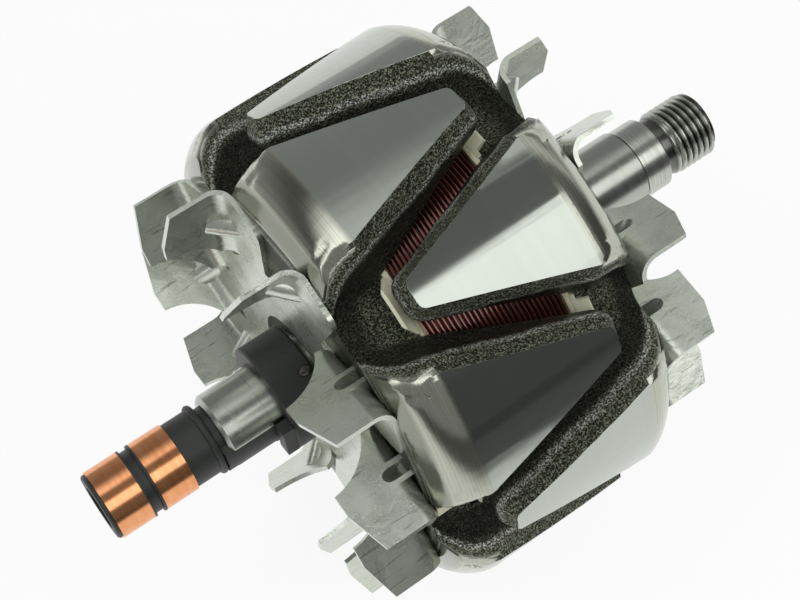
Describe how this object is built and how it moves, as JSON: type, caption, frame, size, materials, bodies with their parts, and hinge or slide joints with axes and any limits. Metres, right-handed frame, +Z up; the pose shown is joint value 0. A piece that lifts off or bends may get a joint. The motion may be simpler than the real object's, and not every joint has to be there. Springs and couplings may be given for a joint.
{
  "type": "alternator rotor",
  "caption": "Claw-pole rotor: wound field coil between two interlocked steel pole halves on a shaft with a threaded end, two stamped cooling fans and a pair of copper slip rings.",
  "frame": {"origin": "on the shaft axis, in the middle of the claw body", "axes": "+X along the shaft towards the threaded pulley end; +Z up through the middle of one pole finger of the slip-ring end half"},
  "size_m": [0.1505, 0.106, 0.106],
  "materials": {
    "forged_steel": "forged steel, ground on the outer lands and turned on the shoulders",
    "shaft_steel": "turned and ground",
    "galvanised_sheet": "passivated zinc on stamped sheet steel",
    "enamelled_wire": "glossy red-brown enamel on copper wire",
    "nylon": "natural nylon with dried varnish",
    "black_moulding": "matt thermoset moulding",
    "ring_copper": "turned and polished copper",
    "varnish": "hard dark varnish"
  },
  "bodies": {
    "root": {"shaft": "shaft_steel", "drive_end_pole": "forged_steel", "slip_ring_end_pole": "forged_steel", "field_core": "forged_steel", "coil_bobbin": "nylon", "field_winding": "enamelled_wire", "drive_end_fan": "galvanised_sheet", "slip_ring_end_fan": "galvanised_sheet", "slip_ring_moulding": "black_moulding", "inner_slip_ring": "ring_copper", "outer_slip_ring": "ring_copper", "terminal_varnish": "varnish", "start_lead": "enamelled_wire", "finish_lead": "enamelled_wire", "start_lead_sleeve": "nylon", "finish_lead_sleeve": "nylon", "inner_ring_lead_bar": "ring_copper", "outer_ring_lead_bar": "ring_copper"}
  },
  "joints": []
}
